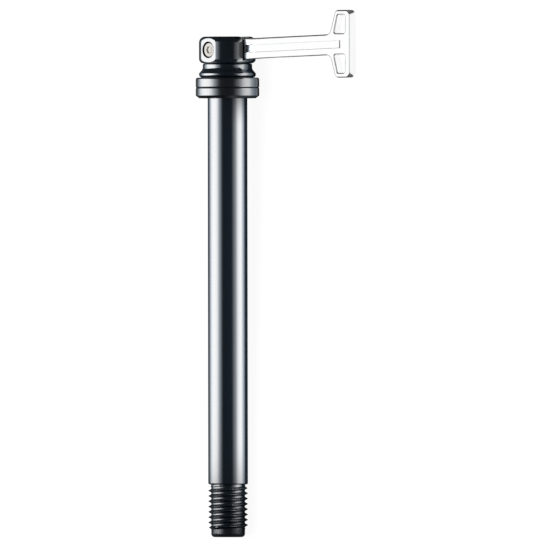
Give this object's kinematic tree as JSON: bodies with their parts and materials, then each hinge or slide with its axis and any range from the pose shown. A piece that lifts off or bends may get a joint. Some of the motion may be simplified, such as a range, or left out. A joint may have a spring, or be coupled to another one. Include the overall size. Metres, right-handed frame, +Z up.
{
  "type": "bicycle thru axle",
  "caption": "Threaded thru axle for a bicycle wheel, with a hinged T-shaped lever, a slotted head, a flared collar and a serrated clamping washer.",
  "frame": {"origin": "on the axle's axis, in the plane of the serrated washer's clamping face", "axes": "+Z up from the surface it lies on, +Y along the axle towards its head (the axis dips 1.57 degrees towards the thread), +X towards the lever's T"},
  "size_m": [0.0795, 0.1991, 0.0242],
  "materials": {
    "black_anodised": "gloss black anodised",
    "black_ring": "fine-turned, black anodised",
    "polished_lever": "polished",
    "steel_screw": "satin",
    "spring_steel": "plain",
    "bush_bronze": "plain",
    "slip_plastic": "matt",
    "seal_rubber": "matt"
  },
  "bodies": {
    "axle": {"axle_shaft": "black_anodised", "clevis_head": "black_anodised", "flange_collar": "black_anodised", "stem_o_ring": "seal_rubber", "cross_pin": "spring_steel", "pivot_screw": "steel_screw", "spring_washer": "spring_steel", "near_shim": "slip_plastic", "far_shim": "slip_plastic"},
    "lever": {"t_lever": "polished_lever", "lever_bush": "bush_bronze"},
    "washer": {"serrated_washer": "black_ring", "retaining_o_ring": "seal_rubber"},
    "thrust_ring": {"thrust_ring": "black_ring", "slip_washer": "slip_plastic"}
  },
  "joints": [
    {"name": "lever_swing", "type": "hinge", "parent": "axle", "child": "lever", "pos_m": [0, 0.01824, 0.0005], "axis": [0.1524, -0.0271, 0.9879], "range_deg": [0, 90]},
    {"name": "washer_spin", "type": "hinge", "parent": "axle", "child": "washer", "pos_m": [0, 0, 0], "axis": [0, 0.9996, 0.0274], "continuous": true},
    {"name": "thrust_ring_spin", "type": "hinge", "parent": "axle", "child": "thrust_ring", "pos_m": [0, 0.00595, 0.00016], "axis": [0, 0.9996, 0.0274], "continuous": true}
  ]
}
